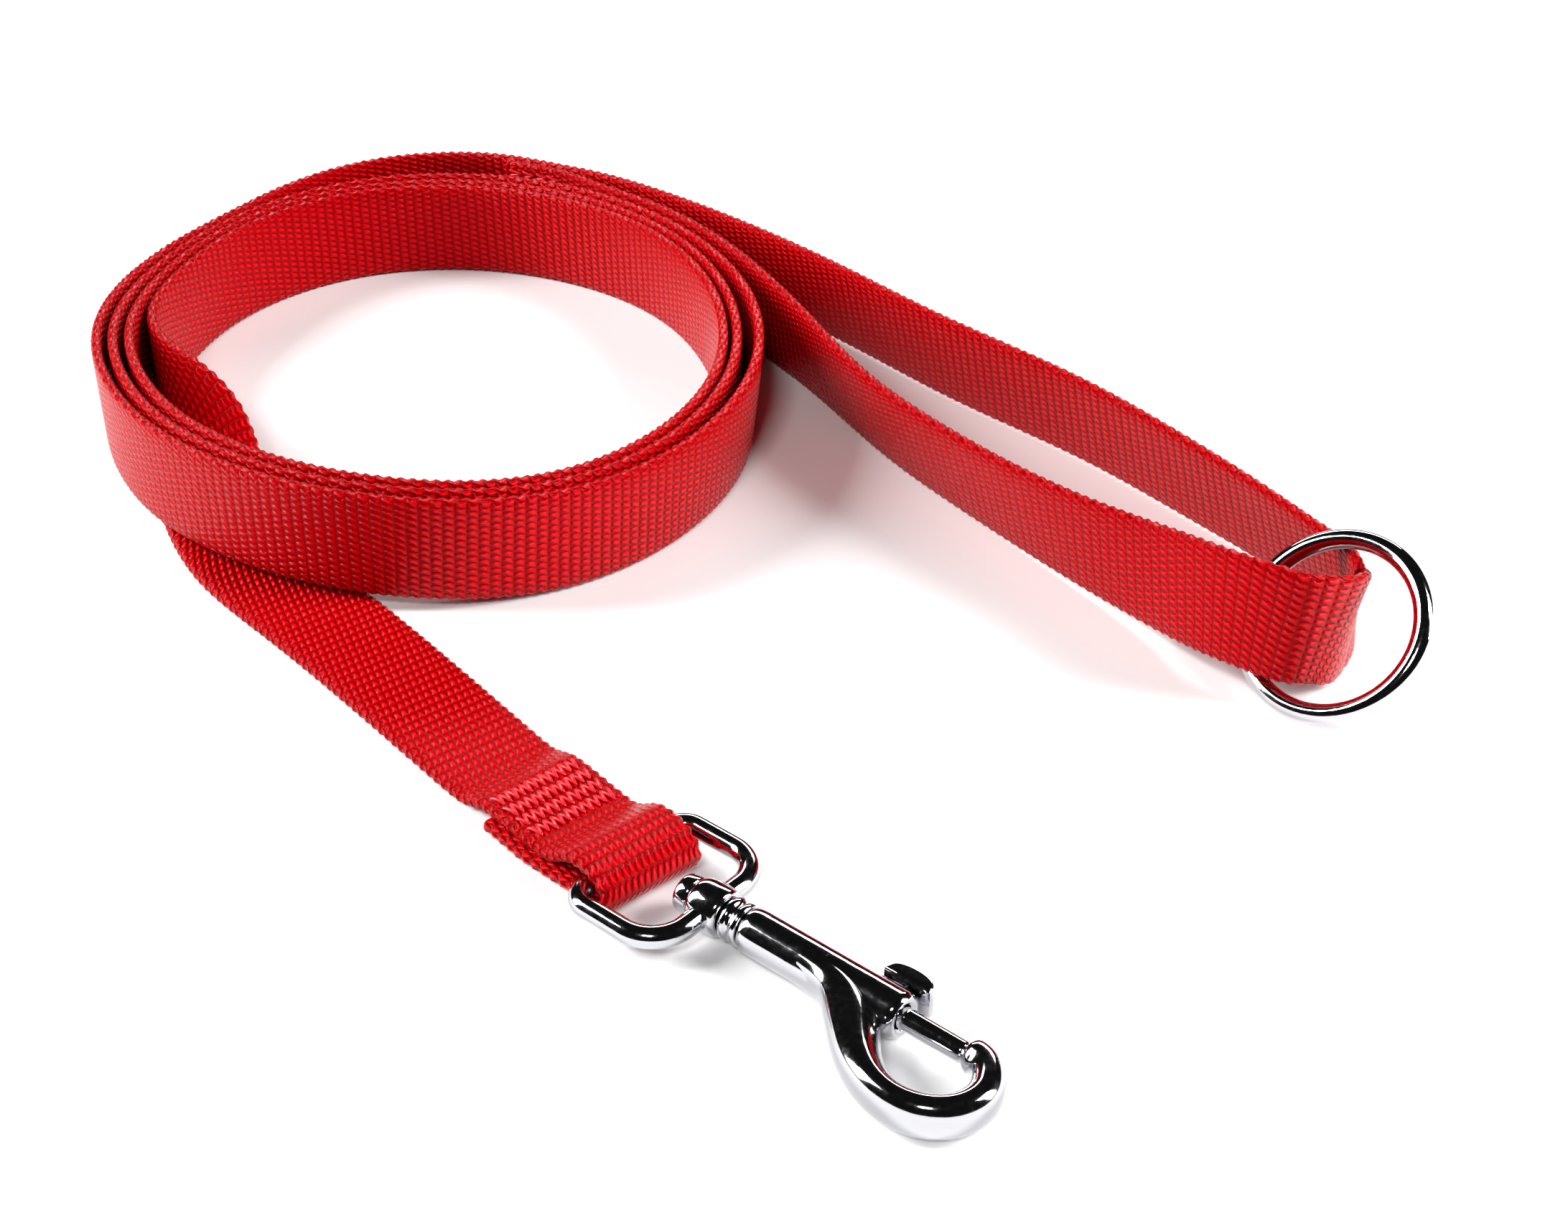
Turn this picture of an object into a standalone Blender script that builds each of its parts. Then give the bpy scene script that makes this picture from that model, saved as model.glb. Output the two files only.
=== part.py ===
"""Training leash: one long strap of flat webbing, coiled on edge and lying on a table, with a
swivel-eye bolt snap sewn to one end and a round ring threaded on the handle loop at the other.

World frame: metres, +Z up, the table at Z = 0, the origin under the middle of the whole leash.
The sizes below are in millimetres and degrees; MM turns them into metres in the meshes.
"""

import math

import bmesh
import bpy
import numpy as np
from mathutils import Matrix, Vector

MM = 0.001
GAP = 0.3  # clear space left between pieces that touch
SHIFT = (0.71, -2.61, 0.052)  # brings the whole leash's middle over the origin

# Webbing
WEB_WIDTH = 25.0
WEB_THICK = 2.4
EYE_SQUEEZE = 0.885  # the webbing's width inside the swivel eye, as a share of its full width
# The middle line of the loop round the crossbar: along the fold from the crossbar, height
LOOP = (
    (0.0, 1.2),
    (3.8, 1.35),
    (6.3, 2.7),
    (7.0, 5.0),
    (5.0, 7.6),
    (1.0, 8.8),
    (-3.2, 8.3),
    (-7.5, 5.8),
    (-11.0, 4.1),
    (-14.5, 3.9),
)
STATION = 7.0  # spacing of the webbing's cross-sections along its length
FOLD_STATION = 1.2  # the same where it folds round the eye's crossbar
LAP_LONG = 27.5  # how far the cut end runs back under the strap from the crossbar

# The coil's first turn is an ellipse standing on edge; the other turns lie outside it
COIL_CENTRE = (-64.1, 71.2)
COIL_HALF_WIDTH = 65.8
COIL_HALF_DEPTH = 78.2
COIL_TURNED = 19.2
TURN_STEPS = 16  # points worked out on each turn
# How far each turn lies outside the ellipse, and how far its top leans out, at eight places of
# a turn: left, back left, back, back right, right, front right, front, front left
TURN_OUT = (
    (0.0, 0.3, -0.8, 0.8, 0.0, 0.8, 2.4, 3.9),
    (3.9, 3.3, 2.6, 4.0, 3.0, 4.0, 5.6, 7.6),
    (7.6, 6.1, 6.8, 7.5, 7.4, 8.0, 9.3, 11.2),
    (11.3, 9.2),
)
TURN_LEAN = (
    (0, -1, -3, -2, 1, 1, 0, 0),
    (0, -1, -3, -2, 2, 2, 0, 0),
    (0, -1, -3, -1, 6, 5, 1, 0),
    (0, -1),
)
# The turns ride over the strap that passes under them at the front left
CROSSING_ANGLE = -128.0
CROSSING_SPREAD = 72.0
CROSSING_LIFT = WEB_THICK + 6 * GAP

# Under the turns the strap stands up on edge: x, y, lean (-90 is flat, 0 is on edge)
RISE = (
    (-84.5, -13.5, -90),
    (-96.5, 0.5, -90),
    (-105.0, 15.0, -90),
    (-111.0, 29.5, -82),
    (-115.9, 42.6, -50),
    (-124.2, 55.0, -17),
)
# From the coil's back out to the ring and back again: x, y, lean, height of the lower edge
HANDLE = (
    (-109.0, 151.5, -1, 0),
    (-99.0, 160.2, -2, 0),
    (-88.0, 166.2, -4, 0),
    (-73.5, 169.3, -5, 0),
    (-58.6, 168.0, -5, 0),
    (-43.4, 162.4, -7, 0),
    (-28.8, 155.4, -8, 0),
    (-17.3, 148.2, -10, 0),
    (5.0, 130.0, -12, 0),
    (32.1, 102.4, -13, 0),
    (57.3, 73.3, -13, 0),
    (84.6, 45.2, -14, 0),
    (106.0, 18.0, -16, 0),
    (123.5, -7.5, -19, 0),
    (130.2, -21.5, -15, 0),
    (131.6, -31.0, -5, 0),
    (129.2, -39.2, 5, 0.2),
    (124.8, -45.6, 5, 3.5),
    (118.8, -48.2, -3, 5.1),
    (110.2, -45.2, -5, 5.9),
    (92.5, -25.0, 2, 2.5),
    (79.0, -8.7, 10, 0.8),
    (57.0, 19.5, 17, 0),
    (39.6, 45.0, 17, 0),
    (25.2, 74.0, 12, 0),
    (11.2, 99.5, 4, 0),
    (2.6, 112.9, 0, 0),
    (-7.0, 126.2, 0, 0),
    (-19.2, 138.8, 1, 0),
    (-30.8, 148.8, 4, 0),
)
LAP_X = (-40.0, -47.0, -55.0)  # x of the last points, where the end lies against the strap

# The snap lies along this heading, and the strap's sewn fold along its own
SNAP_START = (8.9, -117.5)  # where the barrel's end collar begins
SNAP_HEADING = -40.5
FOLD_HEADING = -49.3
SNAP_HEIGHT = 4.8  # height of the barrel's axis, and of the eye's crossbar

# Swivel eye, measured along the snap (u) from the barrel's end collar and across it (v)
EYE_WIRE = 4.2
EYE_ROOM = 2.475  # between the webbing and the side bars, both sides together
EYE_INSIDE = WEB_WIDTH * EYE_SQUEEZE + EYE_ROOM  # between the side bars
CROSSBAR_U = -25.5
EYE_FRONT_U = -5.0
EYE_BACK_CORNER = 4.2
EYE_FRONT_CORNER = 7.5
BOSS_OUTER = 9.4
BOSS_START_U = -8.3
BOSS_END_U = -1.3
STUD_CLEARANCE = 0.35

# Swivel stud and end collar
STUD_DIAMETER = 3.8
STUD_HEAD = 7.4
STUD_HEAD_LONG = 3.4
STUD_END_U = 7.6  # in the barrel's rear wall
CHAMFER = 0.5
COLLAR_START_U = -0.9
COLLAR_DIAMETER = 8.2

# Snap body
BARREL_DIAMETER = 8.6
BARREL_START_U = 3.5
BARREL_MOUTH_U = 37.4
BORE_DIAMETER = 4.6
BORE_START_U = 9.3  # the rear wall behind it holds the stud
HOOK_HEIGHT = 8.2
# The hook's spine from the barrel round to the beak: u, v, width
HOOK_SPINE = (
    (17.0, 1.2, 5.4),
    (22.0, 1.4, 6.6),
    (27.0, 3.0, 8.6),
    (31.4, 6.4, 9.2),
    (35.6, 10.6, 8.2),
    (40.6, 14.2, 7.0),
    (46.6, 16.1, 6.0),
    (52.2, 15.2, 6.0),
    (56.4, 11.6, 6.2),
    (57.6, 6.6, 6.4),
    (55.6, 2.2, 6.0),
    (52.8, 0.2, 5.8),
    (50.1, 0.0, 5.6),
)
BEAK_HEIGHT = 6.6
HOOK_TAPER_AT = (0, 8, 20)  # back from the beak, along the spine
HOOK_TAPER = (BEAK_HEIGHT, 7.4, HOOK_HEIGHT)  # height of the section at each of these
HOOK_STATION = 2.2
HOOK_SIDES = 16
HOOK_ROUNDING = 0.8  # power on the section's sine and cosine; 1 would be an ellipse
SEAT_DEPTH = 1.2  # of the bolt's seat in the beak's face

# Bolt, its thumb knob and spring
BOLT_DIAMETER = 4.0
BOLT_REAR_U = 28.6
BOLT_TIP_U = 50.5
BOLT_TRAVEL = 11.5
STEM_U = 33.9  # of the bolt's thumb knob
STEM_DIAMETER = 2.0
STEM_DEPTH = 0.6  # past the bolt's axis
SLOT_WIDTH = 2.9
KNOB_LONG = 9.6
KNOB_DEEP = 3.4
KNOB_TALL = 6.4
KNOB_STAND_OFF = 0.5
KNOB_ROUNDING = 0.8  # power on the outline's sine; 1 would be half an ellipse
SPRING_WIRE = 0.5
SPRING_RADIUS = 1.7
SPRING_TURNS = 9
SPRING_STEPS = 14  # points worked out on each turn

# Ring on the handle
RING_AXIS = (-0.54, -0.465, 0.70)
RING_WIRE = 4.0
RING_ROOM = 7.2  # between the webbing's width and the ring's inside
RING_RADIUS = (WEB_WIDTH + RING_ROOM + RING_WIRE) / 2  # of the wire's centre line
RING_REST = 0.53  # below the ring's lowest side
RING_LEAN = math.hypot(RING_AXIS[0], RING_AXIS[1]) / math.hypot(*RING_AXIS)
RING_CENTRE = (125.2, -43.5, RING_RADIUS * RING_LEAN + RING_WIRE / 2 + RING_REST)
RING_STEPS = 48

# Seams: rows of zigzag thread across the webbing
THREAD = 0.7
SEAM_ROWS = 4
SEAM_PITCH = 3.8
SEAM_MARGIN = 2.6  # bare webbing left beside each row's ends
ZIGZAG_PITCH = 2.2
ZIGZAG_DEEP = 2.0
HOOK_SEAM_AT = 1.5  # first row, along the strap from the sewn fold's hump
HANDLE_SEAM_BACK = 3.0  # last row, back from the strap's cut end inside the coil


def material(name, colour, roughness, metallic):
    made = bpy.data.materials.new(name)
    made.use_nodes = True
    shader = made.node_tree.nodes["Principled BSDF"]
    shader.inputs["Base Color"].default_value = (*colour, 1.0)
    shader.inputs["Roughness"].default_value = roughness
    shader.inputs["Metallic"].default_value = metallic
    made.diffuse_color = (*colour, 1.0)
    return made


def new_object(name, mesh, finish, at=(0, 0, 0)):
    """Puts a mesh laid out in mm in the scene as metres, with its origin at the point `at`."""
    mesh.transform(Matrix.Scale(MM, 4) @ Matrix.Translation(-Vector(at)))
    origin = (Vector(at) + Vector(SHIFT)) * MM
    mesh.materials.append(finish)
    obj = bpy.data.objects.new(name, mesh)
    obj.location = origin
    bpy.context.scene.collection.objects.link(obj)
    return obj


def smooth_shaded(obj, angle=40):
    obj.data.shade_smooth()
    obj.data.set_sharp_from_angle(angle=math.radians(angle))
    return obj


def grid_mesh(name, rings, closed=False):
    """A closed tube: rings[i, j] is corner j of section i, with flat ends unless the tube is a loop."""
    count, sides = rings.shape[:2]
    corners = np.arange(count * sides).reshape(count, sides)
    last = count if closed else count - 1
    faces = []
    for i in range(last):
        a, b = corners[i], corners[(i + 1) % count]
        faces += [(a[j], a[j - 1], b[j - 1], b[j]) for j in range(sides)]
    if not closed:
        faces += [tuple(corners[0]), tuple(corners[-1][::-1])]
    mesh = bpy.data.meshes.new(name)
    mesh.from_pydata(rings.reshape(-1, 3).tolist(), [], [[int(c) for c in face] for face in faces])
    made = bmesh.new()
    made.from_mesh(mesh)
    bmesh.ops.recalc_face_normals(made, faces=made.faces)
    made.to_mesh(mesh)
    made.free()
    return mesh


def path_lengths(rows):
    """How far along the path each row is, for rows that start x, y, z."""
    return np.concatenate([[0], np.cumsum(np.linalg.norm(np.diff(rows[:, :3], axis=0), axis=1))])


def spline(points, step):
    """Rows read at even steps along a natural cubic spline through rows that start x, y, z."""
    rows = np.array(points, float)
    knots = path_lengths(rows)
    gaps = np.diff(knots)
    count = len(rows)
    matrix = np.eye(count)
    right = np.zeros_like(rows)
    for i in range(1, count - 1):
        matrix[i, i - 1 : i + 2] = gaps[i - 1], 2 * (gaps[i - 1] + gaps[i]), gaps[i]
        right[i] = 6 * ((rows[i + 1] - rows[i]) / gaps[i] - (rows[i] - rows[i - 1]) / gaps[i - 1])
    bend = np.linalg.solve(matrix, right)
    at = np.linspace(0, knots[-1], max(2, round(knots[-1] / step) + 1))
    low = np.clip(np.searchsorted(knots, at, side="right") - 1, 0, count - 2)
    gap = gaps[low][:, None]
    a = (knots[low + 1] - at)[:, None] / gap
    b = 1 - a
    curve = (a**3 - a) * bend[low] + (b**3 - b) * bend[low + 1]
    return a * rows[low] + b * rows[low + 1] + curve * gap**2 / 6


def snap_point(u, v=0.0, w=0.0):
    """A point u along the snap, v across it on the hook's side and w above its axis, in world mm."""
    turn = math.radians(SNAP_HEADING)
    x = SNAP_START[0] + u * math.cos(turn) + v * math.sin(turn)
    y = SNAP_START[1] + u * math.sin(turn) - v * math.cos(turn)
    return (x, y, SNAP_HEIGHT + w)


def in_snap(mesh):
    """Turns a mesh made in (u, q, w) into the world: u along the snap, q = -v across it, w up."""
    turn = math.radians(SNAP_HEADING)
    along = Vector((math.cos(turn), math.sin(turn), 0))
    across = Vector((-math.sin(turn), math.cos(turn), 0))
    made = Matrix((along, across, Vector((0, 0, 1)))).transposed().to_4x4()
    made.translation = Vector(snap_point(0))
    mesh.transform(made)
    return mesh


def turned(name, profile, sides):
    """A solid turned round the u axis: profile rows are u, radius, with flat ends."""
    angles = np.arange(sides) * 2 * math.pi / sides
    rings = [[(u, r * math.cos(a), r * math.sin(a)) for a in angles] for u, r in profile]
    return grid_mesh(name, np.array(rings))


def swept(name, path, across, sides, radius, closed=False):
    """A round wire along a path; across is a direction the path never takes."""
    if closed:
        ahead = np.roll(path, -1, axis=0) - np.roll(path, 1, axis=0)
    else:
        ahead = np.gradient(path, axis=0)
    ahead /= np.linalg.norm(ahead, axis=1)[:, None]
    side = np.cross(across, ahead)
    side /= np.linalg.norm(side, axis=1)[:, None]
    other = np.cross(ahead, side)
    angles = (np.arange(sides) * 2 * math.pi / sides)[None, :, None]
    rings = path[:, None] + radius * (np.cos(angles) * side[:, None] + np.sin(angles) * other[:, None])
    return grid_mesh(name, rings, closed)


def tool(name, mesh):
    """A hidden solid for a Boolean."""
    obj = new_object(name, mesh, bpy.data.materials[0])
    obj.hide_render = True
    obj.display_type = "WIRE"
    return obj


def combine(obj, other, operation):
    made = obj.modifiers.new(other.name, "BOOLEAN")
    made.object = other
    made.operation = operation
    made.solver = "EXACT"


def ellipse_radius(angle):
    """The first turn's radius at an angle from +X."""
    turned = math.radians(angle - COIL_TURNED)
    return 1 / math.hypot(math.cos(turned) / COIL_HALF_WIDTH, math.sin(turned) / COIL_HALF_DEPTH)


def crossing_lift(angle):
    """How far a turn is lifted where it rides over the strap that passes under it."""
    away = abs((angle - CROSSING_ANGLE + 180) % 360 - 180) / CROSSING_SPREAD
    return CROSSING_LIFT * (1 - min(away, 1) ** 3) ** 2


def middle_height(lean):
    """Height of the webbing's middle above its lowest corner, when it leans by this angle."""
    turned = np.radians(abs(lean))
    return (WEB_WIDTH * np.cos(turned) + WEB_THICK * np.sin(turned)) / 2


def coil_route():
    """(x, y, z, lean) round the coil, from the inside of its left side outwards, clockwise."""
    out = [value for turn in TURN_OUT for value in turn]
    leans = [value for turn in TURN_LEAN for value in turn]
    places = len(TURN_OUT[0])
    rows = []
    for i in range((len(out) - 1) * TURN_STEPS // places + 1):
        angle = 180 - 360 * i / TURN_STEPS
        place = i * places / TURN_STEPS
        radius = ellipse_radius(angle) + np.interp(place, range(len(out)), out)
        lean = np.interp(place, range(len(out)), leans)
        lift = crossing_lift(angle) if i > TURN_STEPS / 2 else 0.0
        x = COIL_CENTRE[0] + radius * math.cos(math.radians(angle))
        y = COIL_CENTRE[1] + radius * math.sin(math.radians(angle))
        rows.append((x, y, middle_height(lean) + lift, lean))
    return rows


def fold_heading():
    turn = math.radians(FOLD_HEADING)
    return np.array((math.cos(turn), math.sin(turn), 0))


def fold_point(u, z):
    """(x, y, z, lean) on the sewn fold, u along it and measured from the crossbar."""
    x, y, _ = np.array(snap_point(CROSSBAR_U)) + u * fold_heading()
    return (x, y, z, -90)


def fold_route():
    """The cut end under the strap, the loop round the crossbar and the start of the layer above."""
    under = [fold_point(share * -LAP_LONG, WEB_THICK / 2) for share in (1, 0.6, 0.3)]
    return under + [fold_point(u, z) for u, z in LOOP]


def lead_route():
    """From the loop along the table, under the coil and up on edge inside it."""
    flat = WEB_THICK / 2
    start, top = LOOP[-1]
    rows = [fold_point(u, z) for u, z in (
        (start, top), (start - 5, top), (1 - LAP_LONG, top + 0.1), (-LAP_LONG - 3, top - 0.3),
        (-LAP_LONG - 9, flat + 0.3), (-LAP_LONG - 15, flat))]
    return rows + [(x, y, middle_height(lean), lean) for x, y, lean in RISE]


def handle_route():
    """Out from the coil's back, round the ring and back to lie against the inside of the coil."""
    rows = [(x, y, middle_height(lean) + lift, lean) for x, y, lean, lift in HANDLE]
    outer = spline(rows[:10], 1.0)
    for x in LAP_X:
        at = np.argmin(abs(outer[:, 0] - x))
        heading = outer[at + 1, :2] - outer[at - 1, :2]
        heading /= np.linalg.norm(heading)
        inside = (WEB_THICK + 1.6 * GAP) * np.array((heading[1], -heading[0]))
        rows.append((*(outer[at, :2] + inside), outer[at, 2], -outer[at, 3]))
    return rows


def webbing_frame(rows, heading=None):
    """Along, tall and face directions of webbing on edge that leans to the left of its travel."""
    ahead = np.gradient(rows[:, :3], axis=0)
    ahead /= np.linalg.norm(ahead, axis=1)[:, None]
    level = ahead * (1, 1, 0) if heading is None else np.tile(heading, (len(rows), 1))
    level = level / np.linalg.norm(level, axis=1)[:, None]
    side = np.cross((0, 0, 1.0), level)
    turned = np.radians(rows[:, 3])[:, None]
    tall = np.cos(turned) * np.array((0, 0, 1.0)) + np.sin(turned) * side
    tall -= (tall * ahead).sum(axis=1)[:, None] * ahead
    tall /= np.linalg.norm(tall, axis=1)[:, None]
    return ahead, tall, np.cross(ahead, tall)


def webbing_rings(rows, frame, widths=WEB_WIDTH, thick=WEB_THICK):
    """The four corners of the webbing's section at each row."""
    _, tall, face = frame
    half = np.broadcast_to(np.asarray(widths, float) / 2, len(rows))[:, None]
    corners = ((-1, -1), (1, -1), (1, 1), (-1, 1))
    return np.stack([rows[:, :3] + a * half * tall + b * thick / 2 * face for a, b in corners], axis=1)


def trimmed(rows, start, end):
    """The rows with this much of the path's length cut off its two ends."""
    walked = path_lengths(rows)
    spare = 0.3 * STATION
    keep = rows[(walked > start + spare) & (walked < walked[-1] - end - spare)]
    ends = [[np.interp(at, walked, column) for column in rows.T] for at in (start, walked[-1] - end)]
    return np.vstack([ends[0], keep, ends[1]])


def whole_strap():
    """The strap's middle line from the sewn fold's top layer to the cut end inside the coil."""
    rows = spline(lead_route() + coil_route() + handle_route(), STATION)
    rows[:, 2] = np.maximum(rows[:, 2], middle_height(rows[:, 3]))
    return rows


def make_webbing(finish):
    """The strap in three stretches, cut where the coil begins and where the handle leaves it."""
    fold = spline(fold_route(), FOLD_STATION)
    strap = whole_strap()
    walked = path_lengths(strap)
    coil = np.array(coil_route())
    cuts = [walked[np.linalg.norm(strap[:, :3] - coil[end, :3], axis=1).argmin()] for end in (0, -1)]
    lead = trimmed(strap, 0, walked[-1] - cuts[0] + GAP / 2)
    turns = trimmed(strap, cuts[0] + GAP / 2, walked[-1] - cuts[1] + GAP / 2)
    handle = trimmed(strap, cuts[1] + GAP / 2, 0)
    squeezed = np.interp(path_lengths(fold), (LAP_LONG - 16, LAP_LONG - 4), (1, EYE_SQUEEZE))
    rest = np.interp(path_lengths(lead), (0, 100), (EYE_SQUEEZE, 1))
    back = -fold_heading()
    end = np.vstack([
        webbing_rings(fold[:-1], tuple(d[:-1] for d in webbing_frame(fold, back)), WEB_WIDTH * squeezed[:-1]),
        webbing_rings(lead, webbing_frame(lead), WEB_WIDTH * rest)])
    made = [new_object("webbing_hook_end", grid_mesh("webbing_hook_end", end), finish)]
    for name, rows in (("webbing_coil", turns), ("webbing_handle", handle)):
        mesh = grid_mesh(name, webbing_rings(rows, webbing_frame(rows)))
        made.append(new_object(name, mesh, finish))
    return [smooth_shaded(obj, 30) for obj in made]


def zigzag_row(name, centre, tall, along, face, finish):
    """One row of zigzag thread across the webbing, standing just clear of its face."""
    length = WEB_WIDTH - 2 * SEAM_MARGIN
    count = 2 * round(length / ZIGZAG_PITCH)
    steps = np.arange(count + 1)
    across = (steps / count - 0.5) * length
    swing = np.where(steps % 2, 0.5, -0.5) * ZIGZAG_DEEP
    middle = centre + face * (WEB_THICK / 2 + GAP + THREAD / 2)
    path = middle + across[:, None] * tall + swing[:, None] * along
    return smooth_shaded(new_object(name, swept(name, path, face, 6, THREAD / 2), finish))


def make_seams(finish):
    """Rows of thread through the sewn fold by the snap and through the handle's lap."""
    strap = whole_strap()
    ahead, tall, face = webbing_frame(strap)
    walked = path_lengths(strap)
    lap = walked[-1] - HANDLE_SEAM_BACK - (SEAM_ROWS - 1) * SEAM_PITCH
    for seam, start in (("hook_seam", HOOK_SEAM_AT), ("handle_seam", lap)):
        for i in range(SEAM_ROWS):
            at = start + i * SEAM_PITCH
            centre, up, along, out = (
                np.array([np.interp(at, walked, column) for column in rows.T])
                for rows in (strap[:, :3], tall, ahead, face))
            zigzag_row(f"{seam}_{i + 1}", centre, up, along, -out, finish)


def corner_points(centre_u, centre_v, radius, first, last, count):
    angles = np.radians(np.linspace(first, last, count))
    return [(centre_u + radius * math.cos(a), centre_v + radius * math.sin(a), 0.0) for a in angles]


def make_eye(finish):
    """The cast swivel eye: a wire loop with the boss that the stud turns in."""
    side = (EYE_INSIDE + EYE_WIRE) / 2
    back, front = EYE_BACK_CORNER, EYE_FRONT_CORNER
    loop = corner_points(EYE_FRONT_U - front, side - front, front, 0, 90, 7)
    loop += corner_points(CROSSBAR_U + back, side - back, back, 90, 180, 5)
    loop += corner_points(CROSSBAR_U + back, back - side, back, 180, 270, 5)
    loop += corner_points(EYE_FRONT_U - front, front - side, front, 270, 360, 7)
    mesh = in_snap(swept("swivel_eye", np.array(loop), (0, 0, 1), 14, EYE_WIRE / 2, closed=True))
    eye = new_object("swivel_eye", mesh, finish, snap_point(CROSSBAR_U))
    edge = BOSS_OUTER / 2
    boss = turned("eye_boss", (
        (BOSS_START_U, edge - CHAMFER), (BOSS_START_U + CHAMFER, edge),
        (BOSS_END_U - CHAMFER, edge), (BOSS_END_U, edge - CHAMFER)), 28)
    combine(eye, tool("eye_boss", in_snap(boss)), "UNION")
    bore = STUD_DIAMETER / 2 + STUD_CLEARANCE
    hole = turned("eye_bore", ((BOSS_START_U - 1, bore), (BOSS_END_U + 1, bore)), 24)
    combine(eye, tool("eye_bore", in_snap(hole)), "DIFFERENCE")
    return smooth_shaded(eye)


def make_stud_and_collar(finish):
    """The swivel stud, its head inside the eye, and the collar it holds against the barrel."""
    head = STUD_HEAD / 2
    under = BOSS_START_U - GAP
    stud = turned("swivel_stud", (
        (under - STUD_HEAD_LONG, head - CHAMFER), (under - STUD_HEAD_LONG + CHAMFER, head),
        (under, head), (under, STUD_DIAMETER / 2), (STUD_END_U, STUD_DIAMETER / 2)), 24)
    smooth_shaded(new_object("swivel_stud", in_snap(stud), finish, snap_point(0)))
    end = BARREL_START_U - GAP
    edge = COLLAR_DIAMETER / 2
    collar = turned("end_collar", (
        (COLLAR_START_U, edge - CHAMFER), (COLLAR_START_U + CHAMFER, edge),
        (end - CHAMFER, edge), (end, edge - CHAMFER)), 32)
    collar = new_object("end_collar", in_snap(collar), finish, snap_point(0))
    bore = STUD_DIAMETER / 2 + GAP
    hole = turned("collar_bore", ((COLLAR_START_U - 1, bore), (end + 1, bore)), 24)
    combine(collar, tool("collar_bore", in_snap(hole)), "DIFFERENCE")
    smooth_shaded(collar)


def hook_rings():
    """Rounded sections square to the hook's spine."""
    rows = spline([(u, -v, 0, width) for u, v, width in HOOK_SPINE], HOOK_STATION)
    ahead = np.gradient(rows[:, :3], axis=0)
    ahead[-1] = (-1, 0, 0)
    ahead /= np.linalg.norm(ahead, axis=1)[:, None]
    side = np.cross((0, 0, 1), ahead)
    turns = np.arange(HOOK_SIDES) * 2 * math.pi / HOOK_SIDES
    # a superellipse: fuller than an ellipse, with no flats
    wide = np.sign(np.cos(turns)) * abs(np.cos(turns)) ** HOOK_ROUNDING
    high = np.sign(np.sin(turns)) * abs(np.sin(turns)) ** HOOK_ROUNDING
    walked = path_lengths(rows)
    tall = np.interp(walked[-1] - walked, HOOK_TAPER_AT, HOOK_TAPER)
    across = rows[:, 3:4, None] / 2 * wide[None, :, None] * side[:, None]
    up = tall[:, None, None] / 2 * high[None, :, None] * np.array((0, 0, 1.0))
    return rows[:, None, :3] + across + up


def make_snap_body(finish):
    """The casting: a barrel, bored for the bolt and slotted for its knob, and the hook."""
    edge = BARREL_DIAMETER / 2
    barrel = turned("snap_body", (
        (BARREL_START_U, edge - CHAMFER), (BARREL_START_U + CHAMFER, edge),
        (BARREL_MOUTH_U - 2 * CHAMFER, edge), (BARREL_MOUTH_U, edge - 2 * CHAMFER)), 32)
    body = new_object("snap_body", in_snap(barrel), finish, snap_point(0))
    combine(body, tool("hook", in_snap(grid_mesh("hook", hook_rings()))), "UNION")
    bore = BORE_DIAMETER / 2
    beak = HOOK_SPINE[-1][0]
    way = turned("bolt_way", ((BORE_START_U, bore), (beak + SEAT_DEPTH, bore)), 24)
    combine(body, tool("bolt_way", in_snap(way)), "DIFFERENCE")
    stud = STUD_DIAMETER / 2 + GAP
    hole = turned("stud_hole", ((BARREL_START_U - 1, stud), (STUD_END_U + GAP, stud)), 24)
    combine(body, tool("stud_hole", in_snap(hole)), "DIFFERENCE")
    slack = SLOT_WIDTH / 2
    low, high = STEM_U - BOLT_TRAVEL, STEM_U
    plan = [(high + slack * math.cos(a), slack * math.sin(a)) for a in np.radians(np.linspace(-90, 90, 9))]
    plan += [(low + slack * math.cos(a), slack * math.sin(a)) for a in np.radians(np.linspace(90, 270, 9))]
    rings = np.array([[(u, q, w) for u, w in plan] for q in (0.5, BARREL_DIAMETER)])
    combine(body, tool("knob_slot", in_snap(grid_mesh("knob_slot", rings))), "DIFFERENCE")
    return smooth_shaded(body, 35)


def make_bolt(finish):
    """The sliding bolt, drilled for the knob's stem."""
    edge = BOLT_DIAMETER / 2
    pin = turned("bolt_pin", (
        (BOLT_REAR_U, edge - CHAMFER), (BOLT_REAR_U + CHAMFER, edge),
        (BOLT_TIP_U - 2 * CHAMFER, edge), (BOLT_TIP_U, edge - 2 * CHAMFER)), 28)
    bolt = new_object("bolt_pin", in_snap(pin), finish, snap_point(BOLT_REAR_U))
    hole = stem_mesh("stem_hole", STEM_DIAMETER / 2 + GAP, -STEM_DEPTH - GAP, BOLT_DIAMETER)
    combine(bolt, tool("stem_hole", in_snap(hole)), "DIFFERENCE")
    return smooth_shaded(bolt)


def stem_mesh(name, radius, low, high):
    """A round solid across the snap at the knob's place, between two distances on its side."""
    angles = np.arange(20) * 2 * math.pi / 20
    rings = [[(STEM_U + radius * math.cos(a), q, radius * math.sin(a)) for a in angles] for q in (low, high)]
    return grid_mesh(name, np.array(rings))


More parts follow.
